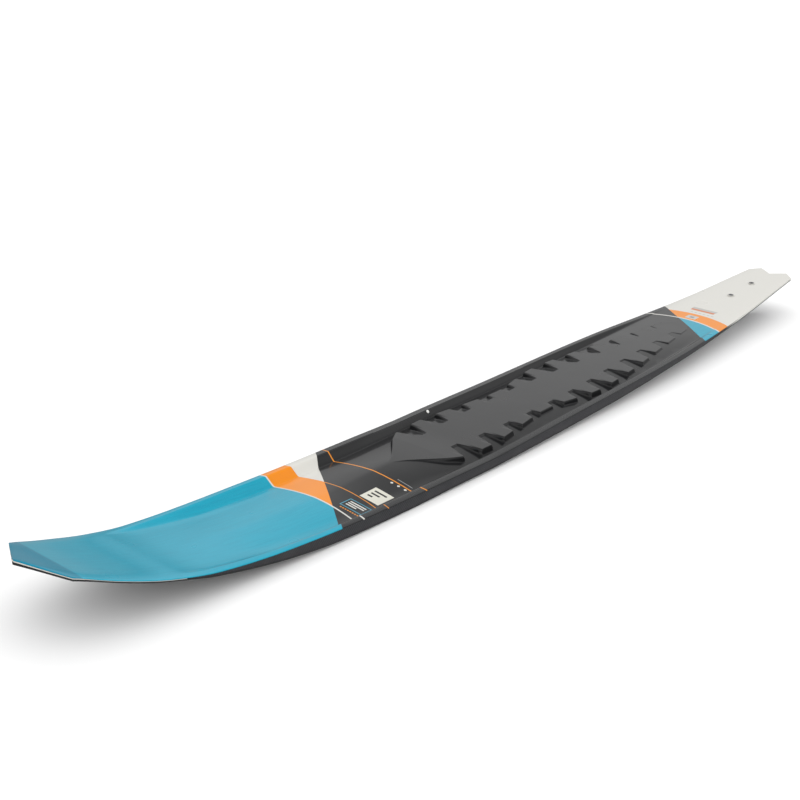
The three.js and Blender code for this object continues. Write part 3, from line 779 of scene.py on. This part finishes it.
class Paint:
    """One material's node tree: ski-frame coordinates, noise, painted colours and the shader."""

    def __init__(self, name, color, roughness, **sockets):
        self.material = bpy.data.materials.new(name)
        self.material.use_nodes = True
        self.tree = self.material.node_tree
        self.shader = self.tree.nodes["Principled BSDF"]
        self.color = tuple(color)
        self.shader.inputs["Roughness"].default_value = roughness
        for socket, value in sockets.items():
            self.shader.inputs[socket.replace("_", " ")].default_value = value
        place = self.tree.nodes.new("ShaderNodeTexCoord")
        self.ski = self.tree.nodes.new("ShaderNodeMapping")
        inverse = SKI_TO_WORLD.inverted()
        self.ski.inputs["Location"].default_value = inverse.to_translation()
        self.ski.inputs["Rotation"].default_value = (0, -REST_PITCH, 0)
        self.ski.inputs["Scale"].default_value = (1 / MM,) * 3
        self.tree.links.new(place.outputs["Object"], self.ski.inputs["Vector"])
        split = self.tree.nodes.new("ShaderNodeSeparateXYZ")
        self.tree.links.new(self.ski.outputs[0], split.inputs[0])
        self.s, self.y, self.z = (Field(self.tree, out) for out in split.outputs)

    def noise(self, scale, detail=3.0, stretch=(1, 1, 1), turn=0.0):
        """Noise with features of about 1/scale mm, from 0 to 1."""
        mapping = self.tree.nodes.new("ShaderNodeMapping")
        mapping.inputs["Scale"].default_value = stretch
        mapping.inputs["Rotation"].default_value = (0, 0, turn)
        self.tree.links.new(self.ski.outputs[0], mapping.inputs["Vector"])
        node = self.tree.nodes.new("ShaderNodeTexNoise")
        node.inputs["Scale"].default_value = scale
        node.inputs["Detail"].default_value = detail
        self.tree.links.new(mapping.outputs[0], node.inputs["Vector"])
        return Field(self.tree, node.outputs["Fac"])

    def over(self, color, mask):
        """Paints a colour, or another painted socket, where the mask is 1."""
        mix = self.tree.nodes.new("ShaderNodeMix")
        mix.data_type = "RGBA"
        self.tree.links.new(mask.socket, mix.inputs[0])
        for slot, value in ((mix.inputs[6], self.color), (mix.inputs[7], color)):
            if isinstance(value, bpy.types.NodeSocket):
                self.tree.links.new(value, slot)
            else:
                slot.default_value = (*value[:3], 1)
        self.color = mix.outputs[2]

    def finish(self, bumps=()):
        """Links the colour and adds the bumps, each a field with its height in mm."""
        if isinstance(self.color, bpy.types.NodeSocket):
            self.tree.links.new(self.color, self.shader.inputs["Base Color"])
        else:
            self.shader.inputs["Base Color"].default_value = (*self.color[:3], 1)
        normal = None
        for field, height in bumps:
            node = self.tree.nodes.new("ShaderNodeBump")
            node.inputs["Strength"].default_value = 1.0
            node.inputs["Distance"].default_value = height * MM
            self.tree.links.new(field.socket, node.inputs["Height"])
            if normal:
                self.tree.links.new(normal, node.inputs["Normal"])
            normal = node.outputs[0]
        if normal:
            self.tree.links.new(normal, self.shader.inputs["Normal"])
        return self.material

    def link(self, socket, field):
        self.tree.links.new(field.socket, self.shader.inputs[socket])


def twill(along, across, tow):
    """2 by 2 twill of woven tows: 1 on the tows that run along, and the domed height of each tow."""
    column, row = along.tows(tow), across.tows(tow)
    over = (column + row).math("FLOORED_MODULO", 4.0).below(1.5, 0.1)
    dome_along = abs((along * (math.pi / tow)).math("SINE"))
    dome_across = abs((across * (math.pi / tow)).math("SINE"))
    height = over * dome_across + (over.times(-1, 1) * dome_along)
    return over, height


# ---- materials ----
BLACK = (0.0075, 0.0078, 0.0085)
BLACK_CLOUD = (0.018, 0.018, 0.019)
# painted glint on the deck's woven tows
BLACK_TOW_PAINTED_GLINT = (0.02, 0.0205, 0.022)
TEAL = (0.001, 0.335, 0.47)
# painted shade: darker teal for the nose facet
TEAL_PAINTED_SHADE = (0.001, 0.20, 0.31)
TEAL_SHADE = (0.001, 0.25, 0.37)
TEAL_FLAKE = (0.05, 0.46, 0.60)
ORANGE = (0.76, 0.235, 0.002)
THIN_ORANGE = (0.72, 0.24, 0.004)
RED_BROWN = (0.55, 0.17, 0.06)
WHITE = (0.62, 0.61, 0.57)
CREAM = (0.62, 0.61, 0.53)
GREYS = {"dark": (0.25, 0.26, 0.27), "line": (0.30, 0.31, 0.32), "dot": (0.40, 0.41, 0.40),
         "middle": (0.42, 0.42, 0.40), "pale": (0.50, 0.50, 0.48)}
LIGHT_BLUE = (0.06, 0.30, 0.42)
# pale tail moulding with painted light: lightened against the shade on the upright wall
TAIL_MOULDING_WITH_PAINTED_LIGHT = (0.60, 0.60, 0.56)

# The colour fields of the deck. Slanted borders run forwards by DIAGONAL mm per mm across, and bands
# bend forwards by their arc times the square of the distance from the centre line.
DIAGONAL = 0.787
TAIL_BORDER, FRONT_BORDER = 347.0, 1245.0
TAIL_ARC, FRONT_ARC = 1 / 290, 1 / 820
TAIL_BAND, FRONT_BAND = (299.0, 331.0), (1222.5, 1266.5)
TAIL_LINE, FRONT_LINE = 334.5, 1268.8
TAIL_LINE_END = 500
BAND_EDGE = 1.3
CROSS_LINE = (1159.0, 1160.9)
DOTS = ((1165.4, 37.6), (1164.8, 48.5), (1164.4, 59.5))
DOT_REACH = 2.4
SHARP, LINE_BLUR, TAIL_BLUR = 0.35, 0.6, 0.8   # width in mm over which a printed edge fades

CLOTH_TOW = 1.2                      # width of one woven bundle
CLOTH_START = 79.0                   # the deck's cloth shows outside this half-width
# the pale moulding's colour also carries painted light for the upright wall's shade
TAIL_EDGE_END = 290.0                # behind this station the sidewall is a pale moulding


def bars(color, starts, length, near, blur=SHARP):
    """Marks of one length along the ski, each from the same edge out to a reach of its own."""
    return [(color, (start, start + length), (near, reach), blur) for start, reach in starts]


# Plain marks where a ski carries its labels: colour, stations, distances across and blur
MARKS = [
    (GREYS["line"], (1152.6, 1153.6), (37, 62), SHARP),
    (CREAM, (1190, 1221.5), (32, 63), SHARP),
    *bars(BLACK, ((1196, 57), (1203, 51), (1210, 45)), 3.2, 37),
    (LIGHT_BLUE, (1235.5, 1256.5), (30, 66), SHARP),
    (BLACK, (1236.7, 1255.3), (31.2, 64.8), SHARP),
    *bars(WHITE, ((1240, 61), (1244.4, 61), (1248.8, 52)), 2.2, 35),
    *[(THIN_ORANGE, (1260, 1262), (near, near + 2.6), SHARP) for near in range(35, 65, 4)],
    (GREYS["middle"], (265.5, 274), (-23, 24), TAIL_BLUR),
    (RED_BROWN, (274, 281), (-22, 23), TAIL_BLUR),
    *[(GREYS["dot"], (290, 292.5), (near, near + 5), TAIL_BLUR) for near in range(-16, 30, 8)],
    (GREYS["pale"], (309, 325), (-9, 11), TAIL_BLUR),
    (GREYS["dark"], (313, 321), (-3, 5), TAIL_BLUR),
]


def deck_material():
    """Printed deck under a clear gloss coat."""
    paint = Paint("deck_print", BLACK, 0.26, Coat_Weight=1.0, Coat_Roughness=0.035, Coat_IOR=1.5,
                  Specular_IOR_Level=0.15)
    s, y = paint.s, paint.y
    slant = s - y * DIAGONAL
    tail, front = slant.below(TAIL_BORDER), slant.above(FRONT_BORDER)
    tail_arc, front_arc = s - y * y * TAIL_ARC, s - y * y * FRONT_ARC
    flakes = paint.noise(1.6, 2.0)
    brushed = paint.noise(0.05, 4.0, stretch=(0.5, 9, 1), turn=math.radians(38))
    paint.over(BLACK_CLOUD, paint.noise(0.012, 2.0).times(0.5))

    # carbon cloth shows through the black outside the rail's crest: the weave is its own pattern, and its
    # lengthwise tows are painted lighter as a painted glint
    middle = tail.times(-1, 1) * front.times(-1, 1)
    cloth, cloth_height = twill(s, y, CLOTH_TOW)
    on_rim = abs(y).above(CLOTH_START, 1.5) * middle
    paint.over(BLACK_TOW_PAINTED_GLINT, cloth * on_rim)

    # teal with flakes, in two shades along the brushing, with painted shade on the nose facet: a darker
    # teal there
    teal_zone = (tail * tail_arc.above(TAIL_LINE)) + (front * front_arc.above(FRONT_LINE))
    paint.over(TEAL, teal_zone)
    paint.over(TEAL_SHADE, teal_zone * (brushed.above(0.5, 0.5) * 0.55))
    paint.over(TEAL_FLAKE, teal_zone * (flakes.above(0.62, 0.2) * 0.3))
    # painted shade: the nose facet is painted a darker teal for the reflection it lacks
    paint.over(TEAL_PAINTED_SHADE, teal_zone * s.above(NOSE_FACET["station"], 2.0) * 0.85)

    # white and orange fields, and the thin lines beside them
    paint.over(WHITE, tail * tail_arc.below(TAIL_BAND[0]))
    paint.over(WHITE, front * front_arc.below(FRONT_BAND[0]))
    paint.over(ORANGE, tail * tail_arc.between(*TAIL_BAND))
    paint.over(ORANGE, front * front_arc.between(*FRONT_BAND))
    paint.over(WHITE, tail_arc.between(TAIL_BAND[1], TAIL_LINE, LINE_BLUR) * s.below(TAIL_LINE_END))
    paint.over(WHITE, front_arc.between(FRONT_BAND[1], FRONT_LINE, LINE_BLUR))
    band_edge = front_arc.between(FRONT_BAND[0], FRONT_BAND[0] + BAND_EDGE, LINE_BLUR)
    paint.over(THIN_ORANGE, band_edge * front.times(-1, 1))
    paint.over(THIN_ORANGE, s.between(*CROSS_LINE, LINE_BLUR))

    for color, stations, across, blur in MARKS:
        paint.over(color, s.between(*stations, blur) * y.between(*across, blur))
    for station, centre in DOTS:
        paint.over(WHITE, (abs(s - station) + abs(y - centre)).below(DOT_REACH))

    # a little metal in the teal, a gloss that varies slowly, and a faint orange peel
    paint.link("Metallic", teal_zone * 0.1)
    paint.link("Roughness", paint.noise(0.02, 1.0).times(0.08, 0.25))
    orange_peel = paint.noise(0.22, 1.0)
    return paint.finish([(cloth_height * on_rim, 0.05), (orange_peel, 0.015)])


def carbon_material():
    """Woven carbon under satin resin on the upright edge of the ski, pale at the tail: a pale moulding
    there, painted lighter still as painted light against the shade on the upright wall.
    """
    paint = Paint("carbon_edge", (0.016, 0.016, 0.018), 0.34, Coat_Weight=0.2, Coat_Roughness=0.18,
                  Specular_IOR_Level=0.35)
    cloth, height = twill(paint.s, paint.z, CLOTH_TOW)
    paint.over((0.05, 0.051, 0.056), cloth * 0.7)
    paint.over((0.06, 0.06, 0.064), paint.noise(0.05, 3.0).above(0.62, 0.3) * 0.25)
    # pale moulding at the tail, painted lighter as painted light against the upright wall's shade
    paint.over(TAIL_MOULDING_WITH_PAINTED_LIGHT, paint.s.below(TAIL_EDGE_END, 60.0))
    paint.link("Roughness", paint.noise(0.3, 3.0).times(0.2, 0.26))
    return paint.finish([(height, 0.04)])


def base_material():
    """Satin black running surface with fine lengthwise polish lines."""
    paint = Paint("base_satin", (0.016, 0.017, 0.018), 0.3, Coat_Weight=0.4, Coat_Roughness=0.2)
    lines = paint.noise(0.6, 3.0, stretch=(0.02, 1.6, 1))
    paint.over((0.035, 0.036, 0.038), lines.above(0.6, 0.3) * 0.6)
    paint.over((0.05, 0.05, 0.052), paint.noise(0.02, 4.0).above(0.62, 0.2) * 0.2)
    paint.link("Roughness", lines.times(0.18, 0.22))
    return paint.finish([(lines, 0.015)])


def edge_block_material():
    """Cut edge of a cream moulding with fine saw marks and a little dirt, black below at the nose."""
    paint = Paint("cream_edge", (0.60, 0.60, 0.56), 0.5)
    marks = paint.noise(1.2, 3.0, stretch=(1, 1, 0.15))
    paint.over((0.42, 0.42, 0.38), marks.above(0.58, 0.3) * 0.4)
    paint.over((0.33, 0.31, 0.27), paint.noise(0.04, 4.0).above(0.66, 0.15) * 0.3)
    depth = paint.tree.nodes.new("ShaderNodeAttribute")
    depth.attribute_name = "depth"
    lower_half = Field(paint.tree, depth.outputs["Fac"]).above(0.5, 0.1)
    paint.over(BLACK, lower_half * paint.s.above(TIP_BLOCK_START))
    paint.link("Roughness", marks.times(0.25, 0.4))
    return paint.finish([(marks, 0.04)])


def cloth_material(name, dark, light, tow, roughness):
    """Resin-bonded cloth."""
    paint = Paint(name, dark, roughness)
    cloth, height = twill(paint.s, paint.y, tow)
    paint.over(light, cloth * 0.8)
    paint.over(dark, paint.noise(0.05, 3.0).above(0.6, 0.3) * 0.3)
    paint.link("Roughness", paint.noise(0.2, 3.0).times(0.2, roughness - 0.1))
    return paint.finish([(height, 0.12)])


def foam_material():
    """Closed-cell foam: small pits and a warm, uneven tint."""
    paint = Paint("core_foam", (0.74, 0.66, 0.46), 0.9)
    cells = paint.noise(1.4, 4.0)
    paint.over((0.60, 0.50, 0.32), cells.above(0.55, 0.25) * 0.6)
    paint.over((0.80, 0.75, 0.58), paint.noise(0.03, 2.0).above(0.55, 0.3) * 0.5)
    paint.link("Roughness", cells.times(0.15, 0.8))
    return paint.finish([(cells, 0.4)])


def speckled_material(name, color, flecks, roughness, scale, height, **sockets):
    """Moulded plastic, rubber or filled composite: base tint, flecks and a fine grain."""
    paint = Paint(name, color, roughness, **sockets)
    grain = paint.noise(scale, 4.0)
    paint.over(flecks, grain.above(0.58, 0.2) * 0.6)
    paint.over(flecks, paint.noise(scale / 30, 3.0).above(0.6, 0.3) * 0.3)
    paint.link("Roughness", grain.times(0.16, roughness - 0.08))
    return paint.finish([(grain, height)])


def metal_material(name, color, worn, roughness, height=0.01):
    """Turned metal with fine tool lines and slightly duller patches."""
    paint = Paint(name, color, roughness, Metallic=1.0)
    lines = paint.noise(2.2, 3.0, stretch=(1, 1, 5))
    paint.over(worn, paint.noise(0.35, 4.0).above(0.52, 0.3) * 0.55)
    paint.link("Roughness", lines.times(0.22, roughness - 0.08))
    return paint.finish([(lines, height)])


# ---- stage ----
CAMERA_PLACE = (1.51861, 1.04505, 0.73493)
CAMERA_ANGLES = {"azimuth": -140.367, "elevation": -21.14, "roll": 2.157}
FOCAL_PIXELS, FRAME_PIXELS, SENSOR_MM = 1338.09, 800, 36.0
# Sine of the elevation, and how bright the studio is there
STUDIO_STOPS = [(0.0, 0.3), (0.1, 0.16), (0.2, 0.38), (0.34, 0.60), (0.5, 0.52), (0.65, 0.34), (0.8, 0.24),
                (1.0, 0.25)]
SUN = {"energy": 3.3, "angle": 165, "turn": (-14, -8, 0)}
FLOOR_REACH = 60.0


def add_camera():
    data = bpy.data.cameras.new("camera")
    data.sensor_width = SENSOR_MM
    data.lens = FOCAL_PIXELS / FRAME_PIXELS * SENSOR_MM
    data.clip_start, data.clip_end = 0.05, 100
    camera = bpy.data.objects.new("camera", data)
    turn = (Matrix.Rotation(math.radians(CAMERA_ANGLES["azimuth"] - 90), 4, "Z")
            @ Matrix.Rotation(math.radians(CAMERA_ANGLES["elevation"] + 90), 4, "X")
            @ Matrix.Rotation(math.radians(CAMERA_ANGLES["roll"]), 4, "Z"))
    camera.matrix_world = Matrix.Translation(CAMERA_PLACE) @ turn
    bpy.context.scene.collection.objects.link(camera)
    bpy.context.scene.camera = camera


def add_floor():
    mesh = bpy.data.meshes.new("floor")
    reach = FLOOR_REACH
    corners = [(x, y, 0) for x, y in ((-reach, -reach), (reach, -reach), (reach, reach), (-reach, reach))]
    mesh.from_pydata(corners, [], [(0, 1, 2, 3)])
    floor = bpy.data.objects.new("floor", mesh)
    bpy.context.scene.collection.objects.link(floor)
    material = bpy.data.materials.new("floor")
    material.use_nodes = True
    shader = material.node_tree.nodes["Principled BSDF"]
    shader.inputs["Base Color"].default_value = (0.88, 0.88, 0.88, 1)
    shader.inputs["Roughness"].default_value = 0.9
    shader.inputs["Specular IOR Level"].default_value = 0.1
    mesh.materials.append(material)
    floor.visible_glossy = False


def add_lights():
    """A studio for the gloss to reflect, and a broad soft sun that isn't reflected."""
    world = bpy.data.worlds.new("studio")
    world.use_nodes = True
    tree = world.node_tree
    place = tree.nodes.new("ShaderNodeTexCoord")
    split = tree.nodes.new("ShaderNodeSeparateXYZ")
    ramp = tree.nodes.new("ShaderNodeValToRGB")
    tree.links.new(place.outputs["Generated"], split.inputs[0])
    tree.links.new(split.outputs["Z"], ramp.inputs[0])
    stops = ramp.color_ramp.elements
    stops[0].position, stops[1].position = STUDIO_STOPS[0][0], STUDIO_STOPS[-1][0]
    for height, _ in STUDIO_STOPS[1:-1]:
        stops.new(height)
    for stop, (_, level) in zip(stops, STUDIO_STOPS):
        stop.color = (level, level, level, 1)
    tree.links.new(ramp.outputs[0], tree.nodes["Background"].inputs["Color"])
    bpy.context.scene.world = world
    sun = bpy.data.lights.new("softbox", "SUN")
    sun.energy = SUN["energy"]
    sun.angle = math.radians(SUN["angle"])
    light = bpy.data.objects.new("softbox", sun)
    light.rotation_euler = [math.radians(angle) for angle in SUN["turn"]]
    light.visible_glossy = False
    bpy.context.scene.collection.objects.link(light)


# ---- assembly ----
bpy.context.scene.view_settings.view_transform = "Standard"
add_camera()
add_floor()
add_lights()

deck_skin(deck_material())
base_skin(base_material())
carbon = carbon_material()
sidewall(1, "left_edge", "left_sidewall", carbon)
sidewall(-1, "right_edge", "right_sidewall", carbon)
cream = edge_block_material()
tip_edge(cream)
tail_edge(cream)
vent_plug(speckled_material("white_nylon", color=(0.80, 0.80, 0.78), flecks=(0.70, 0.70, 0.67),
                            roughness=0.4, scale=1.2, height=0.02))
fin(speckled_material("fin_nylon", color=(0.014, 0.014, 0.016), flecks=(0.03, 0.03, 0.033),
                      roughness=0.42, scale=1.8, height=0.05))
steel = metal_material("steel", color=(0.50, 0.50, 0.51), worn=(0.30, 0.30, 0.30), roughness=0.22)
painted = speckled_material("painted_steel", color=(0.60, 0.59, 0.55), flecks=(0.50, 0.49, 0.46),
                            roughness=0.4, scale=1.2, height=0.02)
for place, station in SCREW_STATIONS.items():
    fin_screw(place, station, steel)
    fin_washer(place, station, painted)

inner_materials = {
    "upper_laminate": cloth_material("carbon_cloth", dark=(0.02, 0.02, 0.022), light=(0.07, 0.07, 0.075),
                                     tow=2.0, roughness=0.45),
    "lower_laminate": cloth_material("glass_cloth", dark=(0.50, 0.50, 0.38), light=(0.64, 0.63, 0.50),
                                     tow=1.6, roughness=0.5),
    "foam_core": foam_material(),
    "fin_gasket": speckled_material("gasket_rubber", color=(0.012, 0.012, 0.012), flecks=(0.03, 0.03, 0.03),
                                    roughness=0.85, scale=1.5, height=0.15),
}
plate_composite = speckled_material("plate_composite", color=(0.24, 0.19, 0.10), flecks=(0.34, 0.28, 0.17),
                                    roughness=0.7, scale=0.9, height=0.1)
brass = metal_material("brass", color=(0.60, 0.42, 0.14), worn=(0.46, 0.31, 0.10), roughness=0.38,
                       height=0.05)
for place in SCREW_STATIONS:
    inner_materials[f"{place}_retention_block"] = plate_composite
    inner_materials[f"{place}_fin_insert"] = brass
for node, material in inner_materials.items():
    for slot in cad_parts[node].material_slots:
        slot.material = material
